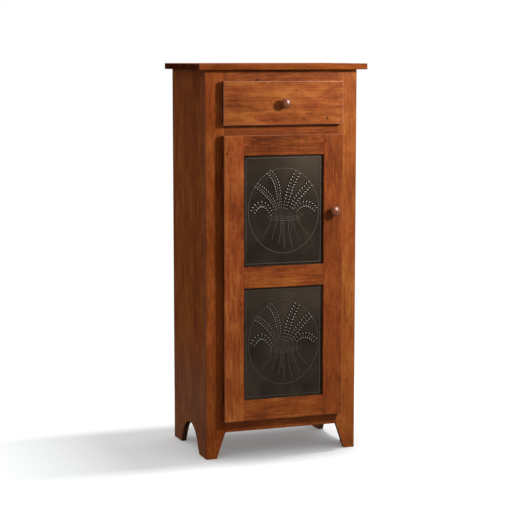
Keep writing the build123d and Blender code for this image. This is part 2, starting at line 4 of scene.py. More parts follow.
import bmesh
import bpy
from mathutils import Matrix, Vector

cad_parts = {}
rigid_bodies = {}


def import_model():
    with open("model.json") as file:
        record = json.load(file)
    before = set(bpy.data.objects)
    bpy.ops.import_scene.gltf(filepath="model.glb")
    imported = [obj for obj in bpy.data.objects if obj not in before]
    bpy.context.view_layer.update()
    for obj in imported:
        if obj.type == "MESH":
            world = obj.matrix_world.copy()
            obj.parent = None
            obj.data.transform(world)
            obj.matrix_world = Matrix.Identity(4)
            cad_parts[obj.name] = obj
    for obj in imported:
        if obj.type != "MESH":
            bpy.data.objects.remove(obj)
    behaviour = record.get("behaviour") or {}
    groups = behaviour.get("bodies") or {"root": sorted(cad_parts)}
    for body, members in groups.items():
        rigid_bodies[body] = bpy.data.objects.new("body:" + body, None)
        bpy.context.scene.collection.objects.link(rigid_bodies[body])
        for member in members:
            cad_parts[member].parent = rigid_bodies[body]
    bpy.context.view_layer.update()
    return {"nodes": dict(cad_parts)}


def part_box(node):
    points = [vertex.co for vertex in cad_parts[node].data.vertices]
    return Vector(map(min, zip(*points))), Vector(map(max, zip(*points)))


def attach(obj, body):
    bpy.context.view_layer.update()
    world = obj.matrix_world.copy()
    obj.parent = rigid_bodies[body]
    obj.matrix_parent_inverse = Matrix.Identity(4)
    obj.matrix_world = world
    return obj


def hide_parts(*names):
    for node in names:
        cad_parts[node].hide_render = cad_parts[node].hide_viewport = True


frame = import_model()
parts = frame["nodes"]


# ---------------------------------------------------------------- camera, floor and lamps
# The pie safe stands on a plain white floor that runs out to a white surround. A soft box at the
# right of the front is the key, another hangs overhead, and a dim pale sky fills the shadows.

def stand(name, data):
    """Stands a new object in the scene, at the origin."""
    thing = bpy.data.objects.new(name, data)
    bpy.context.scene.collection.objects.link(thing)
    return thing


camera_dip, camera_swing = 7.214, 19.982  # degrees down, and round from the left of the front
camera = stand("camera", bpy.data.cameras.new("camera"))
camera.location = (-1.9690, -5.3127, 1.4026)
camera.rotation_euler = (math.radians(90 - camera_dip), 0, math.radians(-camera_swing))
camera.data.lens = 111.95  # millimetres
bpy.context.scene.camera = camera
bpy.context.scene.view_settings.view_transform = "Standard"


def join_up(tree, socket, value):
    """Gives a socket a link from another socket, or a fixed value."""
    if isinstance(value, bpy.types.NodeSocket):
        tree.links.new(value, socket)
    else:
        socket.default_value = value


def add_node(tree, kind, inputs=None, **settings):
    """A node with its settings and its inputs, which are named or numbered sockets."""
    node = tree.nodes.new(kind)
    for name, value in settings.items():
        setattr(node, name, value)
    for name, value in (inputs or {}).items():
        join_up(tree, node.inputs[name], value)
    return node


def maths(tree, operation, *values):
    """One sum on numbers or sockets."""
    return add_node(tree, "ShaderNodeMath", dict(enumerate(values)), operation=operation).outputs[0]


def vector_maths(tree, operation, *values):
    """One sum on vectors, or a vector's length."""
    node = add_node(tree, "ShaderNodeVectorMath", dict(enumerate(values)), operation=operation)
    return node.outputs["Value" if operation == "LENGTH" else "Vector"]


def fade(tree, value, start, end, most=1.0):
    """Rises smoothly from 0, where the value is start, to most, where it is end."""
    return add_node(tree, "ShaderNodeMapRange", {
        "Value": value, "From Min": start, "From Max": end, "To Max": most},
        interpolation_type="SMOOTHSTEP").outputs[0]


def mix_shaders(tree, share, one, other):
    """One shader with a share of another over it."""
    return add_node(tree, "ShaderNodeMixShader", {
        0: share, 1: one.outputs[0], 2: other.outputs[0]})


def seen_directly(tree):
    """1 for what the lens sees, also in a mirror or through glass, and 0 for light on its way."""
    path = add_node(tree, "ShaderNodeLightPath")
    seen = maths(tree, "MAXIMUM", path.outputs["Is Camera Ray"], path.outputs["Is Glossy Ray"])
    return maths(tree, "MAXIMUM", seen, path.outputs["Is Transmission Ray"])


white = (1, 1, 1, 1)
sky_light = 0.48
sky = bpy.data.worlds.new("sky")
sky.use_nodes = True
sky_tree = sky.node_tree
sky_tree.nodes.clear()
sky_fill = add_node(sky_tree, "ShaderNodeBackground", {"Color": white, "Strength": sky_light})
sky_white = add_node(sky_tree, "ShaderNodeBackground", {"Color": white, "Strength": 1.0})
sky_mix = mix_shaders(sky_tree, seen_directly(sky_tree), sky_fill, sky_white)
add_node(sky_tree, "ShaderNodeOutputWorld", {"Surface": sky_mix.outputs[0]})
bpy.context.scene.world = sky

floor_reach, floor_drop = 12.0, 0.0003  # half its width, and how far it lies below the feet
floor_near, floor_far = 0.9, 1.7  # how far out it starts to turn plain white, and how far it has
floor_glow = 0.15  # light of its own that it shows the lens, on top of what falls on it
floor_colour, floor_bounce_colour = (0.935, 0.955, 0.96, 1), (0.25, 0.25, 0.25, 1)
floor_corners = [
    (x * floor_reach, y * floor_reach, -floor_drop)
    for x, y in ((-1, -1), (1, -1), (1, 1), (-1, 1))]
floor_mesh = bpy.data.meshes.new("floor")
floor_mesh.from_pydata(floor_corners, [], [(0, 1, 2, 3)])
floor = stand("floor", floor_mesh)
floor_material = bpy.data.materials.new("white_floor")
floor_material.use_nodes = True
floor_tree = floor_material.node_tree
floor_tree.nodes.clear()
floor_place = add_node(floor_tree, "ShaderNodeTexCoord").outputs["Object"]
floor_way_out = vector_maths(floor_tree, "LENGTH", floor_place)
floor_turn = fade(floor_tree, floor_way_out, floor_near, floor_far)
floor_paint = add_node(floor_tree, "ShaderNodeBsdfDiffuse", {"Color": floor_colour})
floor_shine = add_node(floor_tree, "ShaderNodeEmission", {"Color": white, "Strength": floor_glow})
floor_lit = add_node(floor_tree, "ShaderNodeAddShader", {
    0: floor_paint.outputs[0], 1: floor_shine.outputs[0]})
floor_white = add_node(floor_tree, "ShaderNodeEmission", {"Color": white, "Strength": 1.0})
floor_seen = mix_shaders(floor_tree, floor_turn, floor_lit, floor_white)
floor_bounce = add_node(floor_tree, "ShaderNodeBsdfDiffuse", {"Color": floor_bounce_colour})
floor_mix = mix_shaders(floor_tree, seen_directly(floor_tree), floor_bounce, floor_seen)
add_node(floor_tree, "ShaderNodeOutputMaterial", {"Surface": floor_mix.outputs[0]})
floor_mesh.materials.append(floor_material)


def soft_box(name, place, aim, size, watts):
    """A square or oblong lamp that faces a point."""
    lamp = stand(name, bpy.data.lights.new(name, "AREA"))
    lamp.data.shape = "RECTANGLE"
    lamp.data.size, lamp.data.size_y = size
    lamp.data.energy = watts
    lamp.location = place
    lamp.rotation_euler = (Vector(aim) - Vector(place)).to_track_quat("-Z", "Y").to_euler()
    return lamp


key_lamp = soft_box(
    "key_lamp", place=(1.20, -1.40, 1.81), aim=(0.05, -0.16, 0.8), size=(0.26, 0.26), watts=43)
soft_box("roof_lamp", place=(0.66, -0.08, 4.0), aim=(0.66, -0.08, 0), size=(1.1, 0.22), watts=80)
floor_wash = soft_box(
    "floor_wash", place=(0.0, 0.0, 3.6), aim=(0, 0, 0), size=(5.0, 5.0), watts=34)

# The key lights the furniture alone and the wash the floor alone, so that the overhead box draws
# the one plain shadow, to the left, and the wash only deepens it under the case.
for lamp, link_state in ((key_lamp, "EXCLUDE"), (floor_wash, "INCLUDE")):
    lit = bpy.data.collections.new("lit_by_" + lamp.name)
    lamp.light_linking.receiver_collection = lit
    lit.objects.link(floor)
    lit.collection_objects[0].light_linking.link_state = link_state


# ---------------------------------------------------------------- stained boards of the case
# Solid cherry with small dark knots and flecks, planed, wiped with a reddish-brown stain and
# sealed with a satin topcoat. Wide boards are glued up from staves, each with its own figure.

def add_sockets(tree, side, kind, *names):
    """Gives a group of nodes inputs or outputs of one kind."""
    for name in names:
        tree.interface.new_socket(name, in_out=side, socket_type="NodeSocket" + kind)


def split(tree, vector):
    """The X, Y and Z of a vector."""
    return add_node(tree, "ShaderNodeSeparateXYZ", {"Vector": vector}).outputs


def split_colour(tree, colour):
    """The three parts of a colour. Those of a random colour are three random numbers."""
    return add_node(tree, "ShaderNodeSeparateColor", {"Color": colour}).outputs


def vector_of(tree, **places):
    """A vector from its X, Y and Z, each 0 unless it is given."""
    return add_node(tree, "ShaderNodeCombineXYZ", places).outputs[0]


def noise(tree, place, scale, detail, roughness=0.5, twist=0.0):
    """Soft noise with about so many cells to the metre."""
    return add_node(tree, "ShaderNodeTexNoise", {
        "Vector": place, "Scale": scale, "Detail": detail, "Roughness": roughness,
        "Distortion": twist}).outputs


def mix_colours(tree, share, one, other):
    """One colour with a share of another over it. Each is a socket or three numbers."""
    one, other = ((*colour, 1) if isinstance(colour, tuple) else colour for colour in (one, other))
    factor, first, second, result = 0, 6, 7, 2  # where this node keeps what belongs to colours
    return add_node(tree, "ShaderNodeMix", {
        factor: share, first: one, second: other}, data_type="RGBA").outputs[result]


def colour_scale(tree, value, stops):
    """A colour for each value, from stops of a value and its colour."""
    ramp = add_node(tree, "ShaderNodeValToRGB", {"Fac": value})
    elements = ramp.color_ramp.elements
    while len(elements) < len(stops):
        elements.new(0.5)
    for element, (position, colour) in zip(elements, stops):
        element.position = position
        element.color = (*colour, 1)
    return ramp.outputs["Color"]


def bumps(tree, height, strength, distance, **under):
    """The tilt that a height gives the surface."""
    return add_node(tree, "ShaderNodeBump", {
        "Height": height, "Strength": strength, "Distance": distance, **under}).outputs["Normal"]


def wood_grain(name, stops, mark_colour):
    """The figure of a board whose grain runs along X of the vector, in staves that lie along Y."""
    tree = bpy.data.node_groups.new(name, "ShaderNodeTree")
    add_sockets(tree, "INPUT", "Vector", "Vector")
    add_sockets(tree, "INPUT", "Float", "Stave", "Seed", "Tone", "Marks", "Contrast", "Gold")
    add_sockets(tree, "OUTPUT", "Color", "Color")
    add_sockets(tree, "OUTPUT", "Float", "Roughness", "Height")
    given = add_node(tree, "NodeGroupInput").outputs

    def stretch(vector, along, across):
        """Scales a vector by one number along the grain and by another across it."""
        return vector_maths(tree, "MULTIPLY", vector, (along, across, across))

    def figure(vector, along, across, detail, roughness=0.55, twist=0.0):
        return noise(tree, stretch(vector, along, across), 1.0, detail, roughness, twist)

    def about_zero(value, amount):
        return maths(tree, "MULTIPLY", maths(tree, "SUBTRACT", value, 0.5), amount)

    # Each stave is a piece of another tree.
    seed_step, stave_shift = 7.31, 5.0
    board = split(tree, given["Vector"])
    stave_place = maths(tree, "ADD", maths(tree, "DIVIDE", board["Y"], given["Stave"]), 0.5)
    stave_number = maths(tree, "FLOOR", stave_place)
    luck_number = maths(tree, "MULTIPLY", given["Seed"], seed_step)
    luck_number = maths(tree, "ADD", stave_number, luck_number)
    luck = add_node(
        tree, "ShaderNodeTexWhiteNoise", {"W": luck_number}, noise_dimensions="1D").outputs["Color"]
    luck_side, luck_depth, luck_tone = split_colour(tree, luck)
    shift = add_node(
        tree, "ShaderNodeVectorMath", {0: luck, "Scale": stave_shift}, operation="SCALE").outputs[0]
    own = vector_maths(tree, "ADD", given["Vector"], shift)

    # Slow bends of the grain, then the growth rings about a heart that lies behind the board.
    grain_bend, ring_bend, heart_spread = 0.045, 0.07, 0.05
    rings_to_metre, ring_sharpness = 95.0, 2.2
    drift = vector_maths(tree, "SUBTRACT", figure(own, 1.5, 7.0, 2.0)["Color"], (0.5, 0.5, 0.5))
    bent = vector_maths(tree, "ADD", own, stretch(drift, 0.0, grain_bend))
    in_stave = maths(tree, "SUBTRACT", maths(tree, "FRACT", stave_place), luck_side)
    heart_side = maths(tree, "MULTIPLY", in_stave, given["Stave"])
    heart_depth = maths(tree, "ADD", board["Z"], maths(tree, "MULTIPLY", luck_depth, heart_spread))
    heart = vector_of(tree, Y=heart_side, Z=heart_depth)
    from_heart = vector_maths(tree, "ADD", heart, stretch(drift, 0.0, ring_bend))
    from_heart = vector_maths(tree, "LENGTH", from_heart)
    ring = maths(tree, "FRACT", maths(tree, "MULTIPLY", from_heart, rings_to_metre))
    ring = maths(tree, "POWER", ring, ring_sharpness)

    # Each layer of the figure takes the colour up or down the scale of the stain. The numbers are
    # its cells to the metre along the grain and across it, its detail, roughness and twist.
    fibre = figure(bent, 9.0, 420.0, 3.0, 0.6)["Fac"]
    depth = 0.0
    for layer, amount in (
            (figure(bent, 4.0, 80.0, 3.0, 0.6, 0.3)["Fac"], 0.19),  # streaks
            (figure(own, 6.0, 11.0, 2.0, 0.5)["Fac"], 0.54),  # blotches
            (figure(bent, 9.5, 34.0, 3.0, 0.6, 0.9)["Fac"], 0.38),  # flame
            (figure(bent, 13.0, 42.0, 3.0, 0.65, 0.5)["Fac"], 0.40),  # smudges
            (figure(bent, 20.0, 170.0, 2.0, 0.55)["Fac"], 0.30),  # dashes
            (fibre, 0.34),
            (figure(own, 60.0, 16.0, 2.0, 0.5, 0.6)["Fac"], 0.08),  # curl across the grain
            (figure(bent, 75.0, 230.0, 2.0, 0.6)["Fac"], 0.30),  # pores
            (ring, -0.09),
            (luck_tone, 0.12)):
        depth = maths(tree, "ADD", depth, about_zero(layer, amount))
    depth = maths(tree, "MULTIPLY", depth, given["Contrast"])
    depth = maths(tree, "ADD", maths(tree, "ADD", depth, 0.5), given["Tone"])

    # The stain takes a little redder or more golden from place to place.
    hue_change = 0.014
    warmth = split_colour(tree, figure(own, 6.0, 14.0, 1.0)["Color"])[0]
    warmth = maths(tree, "ADD", about_zero(warmth, hue_change), given["Gold"])
    warmth = maths(tree, "ADD", warmth, 0.5)
    stained = add_node(tree, "ShaderNodeHueSaturation", {
        "Hue": warmth, "Color": colour_scale(tree, depth, stops)}).outputs[0]

    def dark_marks(along, across, size, share):
        """Marks in the cells of a stretched pattern, where only a share of the cells has one."""
        core = 0.35  # the share of a mark's reach that is dark all through
        cells = add_node(tree, "ShaderNodeTexVoronoi", {
            "Vector": stretch(bent, along, across), "Scale": 1.0}).outputs
        chance, luck_size, _ = split_colour(tree, cells["Color"])
        there = maths(tree, "LESS_THAN", chance, maths(tree, "MULTIPLY", given["Marks"], share))
        reach = maths(tree, "MULTIPLY", maths(tree, "ADD", luck_size, 0.5), size)
        shape = maths(tree, "DIVIDE", cells["Distance"], reach)
        return maths(tree, "MULTIPLY", fade(tree, shape, 1.0, core), there)

    flecks = dark_marks(34.0, 190.0, size=0.34, share=0.12)
    knots = dark_marks(26.0, 30.0, size=0.12, share=0.55)
    marks = maths(tree, "MAXIMUM", flecks, knots)
    mark_strength = 0.82
    darkened = maths(tree, "MULTIPLY", marks, mark_strength)
    coloured = mix_colours(tree, darkened, stained, mark_colour)

    least_rough, fibre_rough = 0.32, 0.18
    fibre_relief, mark_relief, ring_relief = 0.6, 0.8, 0.12
    rough = maths(tree, "ADD", maths(tree, "MULTIPLY", fibre, fibre_rough), least_rough)
    relief = maths(
        tree, "SUBTRACT", maths(tree, "MULTIPLY", fibre, fibre_relief),
        maths(tree, "MULTIPLY", marks, mark_relief))
    relief = maths(tree, "SUBTRACT", relief, maths(tree, "MULTIPLY", ring, ring_relief))
    add_node(tree, "NodeGroupOutput", {"Color": coloured, "Roughness": rough, "Height": relief})
    return tree


stain_stops = (
    (0.0, (0.045, 0.009, 0.0028)), (0.25, (0.137, 0.028, 0.0060)), (0.5, (0.280, 0.067, 0.0138)),
    (0.75, (0.432, 0.142, 0.0300)), (1.0, (0.600, 0.250, 0.0620)))
cherry_grain = wood_grain("cherry_grain", stain_stops, mark_colour=(0.028, 0.009, 0.005))


def new_finish(name):
    """A new material, its tree, and the outputs that say where on the piece a point is."""
    material = bpy.data.materials.new(name)
    material.use_nodes = True
    tree = material.node_tree
    return material, tree, add_node(tree, "ShaderNodeTexCoord").outputs


def lay_on(material, values):
    """Gives the shader of a material its inputs, each a socket or a fixed value."""
    tree = material.node_tree
    for name, value in values.items():
        join_up(tree, tree.nodes["Principled BSDF"].inputs[name], value)
    return material


def wood_finish(
        name, grain, box, run, seed, stave=0.12, tone=0.0, marks=0.3, contrast=1.0, gloss=0.06,
        gold=0.0, painted_floor_sheen=0.0, edge_stain_and_shade=0.0, handled=None, rubbed=(0.70, 0.39, 0.24)):
    """A sealed board. run names the axes along the grain, across it and through the board.

    stave is how wide its staves are, tone makes its stain paler or darker, marks is how many knots
    and flecks it has, and contrast is how lively its figure is. gold turns the stain's colour. The
    floor sheen pales the finish towards the floor, a painted reflection of the floor. The edge
    darkening makes the board's edges darker, partly stain that soaks in deeper there and partly
    painted shade. The arris box, lowest and highest corner, gives the arrises that show a paler
    line, partly wear and partly a painted highlight, and the last argument is the colour of that
    line.
    """
    low, high = box
    material, tree, coordinates = new_finish(name)
    place = coordinates["Object"]
    from_middle = split(tree, vector_maths(tree, "SUBTRACT", place, (low + high) / 2))
    along, across, through = (from_middle[axis] for axis in run)

    # Stain gathers along the joints at a board's edges, and end grain drinks more of it. Sawn edges
    # are darkened too, partly by stain that soaks in deeper and partly as painted shade.
    end_sharpness, end_darkening = 4.0, 0.28
    joint_reach, joint_full, joint_darkening = 0.0028, 0.0006, 0.20
    end_facing, edge_facing = (
        maths(tree, "ABSOLUTE", split(tree, coordinates["Normal"])[axis]) for axis in run[:2])
    end_grain = maths(tree, "POWER", end_facing, end_sharpness)
    depth = maths(tree, "SUBTRACT", tone, maths(tree, "MULTIPLY", end_grain, end_darkening))
    depth = maths(tree, "SUBTRACT", depth, maths(tree, "MULTIPLY", edge_facing, edge_stain_and_shade))
    half_width = (high - low)["XYZ".index(run[1])] / 2
    from_joint = maths(tree, "SUBTRACT", half_width, maths(tree, "ABSOLUTE", across))
    gathered = fade(tree, from_joint, joint_reach, joint_full, joint_darkening)
    gathered = maths(tree, "MULTIPLY", gathered, maths(tree, "SUBTRACT", 1.0, edge_facing))
    figure = add_node(tree, "ShaderNodeGroup", {
        "Vector": vector_of(tree, X=along, Y=across, Z=through), "Stave": stave, "Seed": seed,
        "Tone": maths(tree, "SUBTRACT", depth, gathered), "Marks": marks, "Contrast": contrast,
        "Gold": gold}, node_tree=grain).outputs
    colour = figure["Color"]

    # A painted reflection of the white floor pales the finish towards the floor.
    if painted_floor_sheen:
        floor_sheen_top, floor_sheen_full, floor_sheen_colour = 0.50, 0.16, (0.20, 0.33, 0.32)
        floor_sheen_share = fade(tree, split(tree, place)["Z"], floor_sheen_top, floor_sheen_full, painted_floor_sheen)
        colour = mix_colours(tree, floor_sheen_share, colour, floor_sheen_colour)

    # A paler line on the arrises, partly wear and partly a painted highlight.
    if handled:
        arris_reach, arris_full, patch_scale = 0.0034, 0.0004, 14.0
        arris_box_low, arris_box_high = handled
        from_centre = vector_maths(tree, "SUBTRACT", place, (arris_box_low + arris_box_high) / 2)
        from_centre = vector_maths(tree, "ABSOLUTE", from_centre)
        from_face = vector_maths(tree, "SUBTRACT", (arris_box_high - arris_box_low) / 2, from_centre)
        near_x, near_y, near_z = (
            fade(tree, distance, arris_reach, arris_full) for distance in split(tree, from_face))
        painted_light_and_wear_mask = maths(tree, "MULTIPLY", near_x, near_y)
        for one, other in ((near_y, near_z), (near_z, near_x)):
            painted_light_and_wear_mask = maths(tree, "MAXIMUM", painted_light_and_wear_mask, maths(tree, "MULTIPLY", one, other))
        painted_light_and_wear_mask = maths(tree, "MULTIPLY", painted_light_and_wear_mask, noise(tree, place, patch_scale, detail=2.0)["Fac"])
        colour = mix_colours(tree, painted_light_and_wear_mask, colour, rubbed)

    return lay_on(material, {
        "Base Color": colour, "Roughness": figure["Roughness"], "Specular IOR Level": gloss,
        "Normal": bumps(tree, figure["Height"], strength=0.35, distance=0.0004)})


def finish_part(name, material):
    """Gives a carried-over part one material all over."""
    parts[name].data.materials.clear()
    parts[name].data.materials.append(material)


def stained_board(name, run, seed, **look):
    """Stains a board of the outside."""
    finish_part(name, wood_finish("stain_" + name, cherry_grain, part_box(name), run, seed, **look))


# The top's paler arris line, partly wear and partly a painted highlight, runs on its upper arrises
# only, not those below, so its box reaches further down.
top_low, top_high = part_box("top_board")
below_top = Vector((0, 0, 0.02))
stained_board(
    "top_board", "XYZ", 3.0, stave=0.104, tone=-0.11, contrast=0.7, gloss=0.0,
    handled=(top_low - below_top, top_high), rubbed=(0.26, 0.13, 0.09))
# The sides' lower parts take a painted reflection of the floor, and their edges painted shade with
# the extra stain.
side_look = {"stave": 0.098, "marks": 0.15, "contrast": 0.8, "painted_floor_sheen": 0.08, "edge_stain_and_shade": 0.45}
stained_board("left_side", "ZYX", 11.0, tone=-0.03, gloss=0.001, **side_look)
stained_board("right_side", "ZYX", 12.0, gloss=0.03, **side_look)
# The left stile is stained darker and the right one paler and a little more golden, partly their own
# tone and partly painted shade on the left and painted light on the right.
stained_board("frame_left_stile", "ZXY", 21.0, tone=-0.12, marks=0.2, contrast=0.8, gloss=0.01)
stained_board("frame_right_stile", "ZXY", 22.0, tone=0.02, marks=0.2, contrast=0.8, gold=0.002)
# The top rail's darker tone paints the shade that falls under the top's overhang.
stained_board("frame_top_rail", "XZY", 23.0, tone=-0.18, marks=0.25)
stained_board("frame_middle_rail", "XZY", 24.0, tone=-0.12, marks=0.2, contrast=0.7)
stained_board("frame_bottom_rail", "XZY", 25.0, tone=-0.08, marks=0.2)


# ---------------------------------------------------------------- inside of the case
# Bottom, divider, shelves and back boards are the same cherry with a thinner coat of stain. They
# are duller than the outside, because only one coat of sealer goes on them.

def inside_board(name, run, seed, stave=0.1):
    finish_part(name, wood_finish(
        "inside_" + name, cherry_grain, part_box(name), run, seed, stave, tone=0.05, marks=0.15,
        contrast=0.75, gloss=0.03))


for number, name in enumerate(("bottom_panel", "divider_panel", "lower_shelf", "upper_shelf")):
    inside_board(name, "XYZ", 31.0 + number)
for number in range(4):
    inside_board(f"back_board_{number + 1}", "ZXY", 41.0 + number, stave=0.3)


# ---------------------------------------------------------------- runners, cleats and drawer box
# Hard maple, left its own colour under clear oil: what slides or only carries isn't stained. The
# cleats and runners are screwed on, and the box stands round a bottom let into grooves.

maple_stops = (
    (0.0, (0.300, 0.165, 0.070)), (0.3, (0.440, 0.275, 0.130)), (0.55, (0.560, 0.380, 0.200)),
    (0.8, (0.640, 0.460, 0.260)), (1.0, (0.720, 0.560, 0.350)))
maple_grain = wood_grain("maple_grain", maple_stops, mark_colour=(0.20, 0.11, 0.05))


def maple_board(name, run, seed, stave=0.3):
    finish_part(name, wood_finish(
        "maple_" + name, maple_grain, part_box(name), run, seed, stave, tone=0.06, marks=0.05,
        contrast=0.6, gloss=0.12))


for run, first_seed, names in (
        ("XYZ", 51.0, ("front_cleat", "rear_cleat")),
        ("YXZ", 53.0, ("left_runner", "right_runner", "kicker")),
        ("XZY", 61.0, ("drawer_box_front", "drawer_back")),
        ("YZX", 63.0, ("drawer_left_side", "drawer_right_side"))):
    for number, name in enumerate(names):
        maple_board(name, run, first_seed + number)
maple_board("drawer_bottom", "XYZ", 65.0, stave=0.15)
maple_board("drawer_stop", "ZXY", 66.0)


# ---------------------------------------------------------------- screws, nails and shelf pins
# Zinc-plated screws, black nails and brads, and turned brass shelf pins, all a little handled.
# Each one sits in a hole or a recess of its own.

def metal_finish(name, colour, tarnish, roughness):
    """A metal whose colour and gloss vary a little over the piece."""
    material, tree, coordinates = new_finish(name)
    cloud = noise(tree, coordinates["Object"], scale=160.0, detail=3.0)["Fac"]
    scratch = noise(tree, coordinates["Object"], scale=2200.0, detail=1.0)["Fac"]
    rough_spread, least_rough = 0.25, roughness - 0.12
    return lay_on(material, {
        "Base Color": mix_colours(tree, cloud, colour, tarnish), "Metallic": 1.0,
        "Roughness": maths(tree, "ADD", maths(tree, "MULTIPLY", cloud, rough_spread), least_rough),
        "Normal": bumps(tree, scratch, strength=0.2, distance=0.00005)})


zinc = metal_finish("zinc_plate", (0.60, 0.60, 0.58), (0.42, 0.42, 0.41), roughness=0.35)
black_iron = metal_finish("black_iron", (0.05, 0.045, 0.04), (0.09, 0.075, 0.06), roughness=0.5)
pin_brass = metal_finish("pin_brass", (0.72, 0.50, 0.20), (0.48, 0.32, 0.12), roughness=0.32)
for metal, names in (
        (zinc, ("case_screws", "drawer_screws", "door_knob_screw", "drawer_knob_screw")),
        (black_iron, ("back_nails", "tin_brads")),
        (pin_brass, ("shelf_pins",))):
    for name in names:
        finish_part(name, metal)


# ---------------------------------------------------------------- hinges, catch and bumpers
# Wrap-round hinges in oil-rubbed bronze, a magnetic catch in brown plastic with a steel strike,
# and two felt pads where the door meets the frame.

bronze = metal_finish(
    "oiled_bronze", (0.120, 0.043, 0.014), (0.070, 0.026, 0.010), roughness=0.50)
for name in (
        "lower_hinge_frame_leaf", "upper_hinge_frame_leaf", "lower_hinge_door_leaf",
        "upper_hinge_door_leaf", "hinge_pins", "hinge_frame_screws", "hinge_door_screws",
        "catch_screws"):
    finish_part(name, bronze)
finish_part("catch_strike", zinc)
finish_part("catch_magnet", metal_finish(
    "magnet_steel", (0.30, 0.29, 0.28), (0.16, 0.15, 0.15), roughness=0.45))


def grained_finish(name, colour, other, scale, depth, roughness):
    """A dull, finely grained surface, such as moulded plastic or felt."""
    material, tree, coordinates = new_finish(name)
    grain = noise(tree, coordinates["Object"], scale, detail=3.0)["Fac"]
    rough_spread = 0.15
    return lay_on(material, {
        "Base Color": mix_colours(tree, grain, colour, other),
        "Roughness": maths(tree, "ADD", maths(tree, "MULTIPLY", grain, rough_spread), roughness),
        "Normal": bumps(tree, grain, strength=0.5, distance=depth)})


finish_part("catch_housing", grained_finish(
    "catch_plastic", (0.10, 0.05, 0.026), (0.075, 0.037, 0.02), scale=1400.0, depth=0.00005,
    roughness=0.45))
finish_part("door_bumpers", grained_finish(
    "brown_felt", (0.20, 0.12, 0.07), (0.10, 0.06, 0.035), scale=2600.0, depth=0.0003,
    roughness=0.8))


# ---------------------------------------------------------------- door
# Two stiles and three rails of the same stained cherry, rounded over outside and eased round the
# windows. Behind, stained strips hold the tins in their rabbets.

door_corners = (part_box("door_hinge_stile")[0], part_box("door_latch_stile")[1])
# Paler lines on the door's outer arrises are partly wear and partly a painted highlight. The hinge
# stile's edges are darkened, partly stain and partly painted shade.
door_wear_and_highlight = (0.45, 0.18, 0.08)
for name, run, seed, look in (
        ("door_hinge_stile", "ZXY", 71.0, {
            "tone": 0.05, "marks": 0.35, "gold": -0.004, "edge_stain_and_shade": 0.3}),
        ("door_latch_stile", "ZXY", 72.0, {"tone": -0.13, "marks": 0.25, "contrast": 0.8}),
        ("door_top_rail", "XZY", 144.0, {"tone": -0.15, "marks": 0.45, "contrast": 1.1}),
        ("door_middle_rail", "XZY", 74.0, {"tone": -0.04, "marks": 0.8}),
        ("door_bottom_rail", "XZY", 75.0, {"tone": -0.04, "marks": 0.3})):
    stained_board(name, run, seed, handled=door_corners, rubbed=door_wear_and_highlight, **look)
stained_board("upper_tin_strips", "ZXY", 76.0)
stained_board("lower_tin_strips", "ZXY", 77.0)


# ---------------------------------------------------------------- punched tins
# Thin sheets with a dark bronze patina. The pattern is an old kitchen one, a sheaf of wheat in an
# oval inside a border, punched from behind, so that each stroke stands up as a small burst boss.

def ring_of(mesh, sides, place):
    """A ring of points, each where place says for its angle."""
    return [mesh.verts.new(place(2 * math.pi * step / sides)) for step in range(sides)]


def join_rings(mesh, rings):
    """Faces between rings of points, each joined to the next."""
    for one, other in zip(rings, rings[1:]):
        for step in range(len(one)):
            after = (step + 1) % len(one)
            mesh.faces.new((one[step], one[after], other[after], other[step]))


def shaped(name, mesh):
    """Turns the faces of a finished shape outwards, and stands it in the scene."""
    bmesh.ops.recalc_face_normals(mesh, faces=mesh.faces)
    data = bpy.data.meshes.new(name)
    mesh.to_mesh(data)
    mesh.free()
    return stand(name, data)


def stamp(name, sides, rings, length=1.0, taper=0.0):
    """One punched boss or dent, half as wide as 1, from rings of (radius, height, wear and light).

    They run from the foot to the crown. Height is towards -Y. The last value is 1 for bare metal
    with a painted highlight and -1 for dirt with painted shade. Past radius 1 a ring is the boss's
    foot, which stands out evenly all round.
    """
    mesh = bmesh.new()
    rubbed = mesh.verts.layers.float.new("rubbed")
    loops = []
    for radius, height, light_and_wear_value in rings:
        body, foot = min(radius, 1.0), max(radius - 1.0, 0.0)
        loops.append(ring_of(mesh, sides, lambda angle: (
            (length * body + foot) * math.cos(angle), -height,
            ((1 - taper * math.cos(angle)) * body + foot) * math.sin(angle))))
        for point in loops[-1]:
            point[rubbed] = light_and_wear_value
    join_rings(mesh, loops)
    mesh.faces.new(loops[-1])
    mesh.faces.new(list(reversed(loops[0])))
    for face in mesh.faces:
        face.smooth = True
    return shaped(name, mesh)


dot_stamp = stamp("dot_stamp", sides=8, rings=(
    (1.3, -0.1, -1), (1.3, 0.03, -1), (0.95, 0.04, -1), (0.78, 0.45, 0.5), (0.45, 0.65, 0.5),
    (0.2, 0.58, 0.5)))
bead_stamp = stamp("bead_stamp", sides=8, rings=(
    (1.35, -0.1, -1), (1.35, 0.03, -1), (0.95, 0.04, -1), (0.8, 0.50, 0.5), (0.45, 0.75, 0.5),
    (0.2, 0.66, 0.5)))
grain_shape = {"sides": 10, "length": 2.1, "taper": 0.25}
grain_stamp = stamp("grain_stamp", **grain_shape, rings=(
    (2.2, -0.1, -1), (2.2, 0.03, -1), (0.98, 0.04, -1), (0.82, 0.50, 0.9), (0.52, 0.80, 0.9),
    (0.15, 0.92, 0.9)))

# Seen from inside, each boss is a dent with a raised lip, painted a little paler as a glint inside
# it and dirty in its hollow.
dent_rings = ((1.0, 0.06, 0), (0.95, -0.04, 0), (0.75, -0.07, 0.3), (0.4, -0.02, -1))
dot_dent = stamp("dot_dent", sides=8, rings=dent_rings)
grain_dent = stamp("grain_dent", **grain_shape, rings=dent_rings)

tin_rabbet = 0.0075  # how much of each edge of the sheet the door covers
border_radius, border_inset = 0.0020, 0.0095
oval_half, oval_middle, oval_points = (0.131, 0.148), (0.001, -0.001), 48
tie_radius, neck_radius, spine_radius = 0.0012, 0.0011, 0.0017

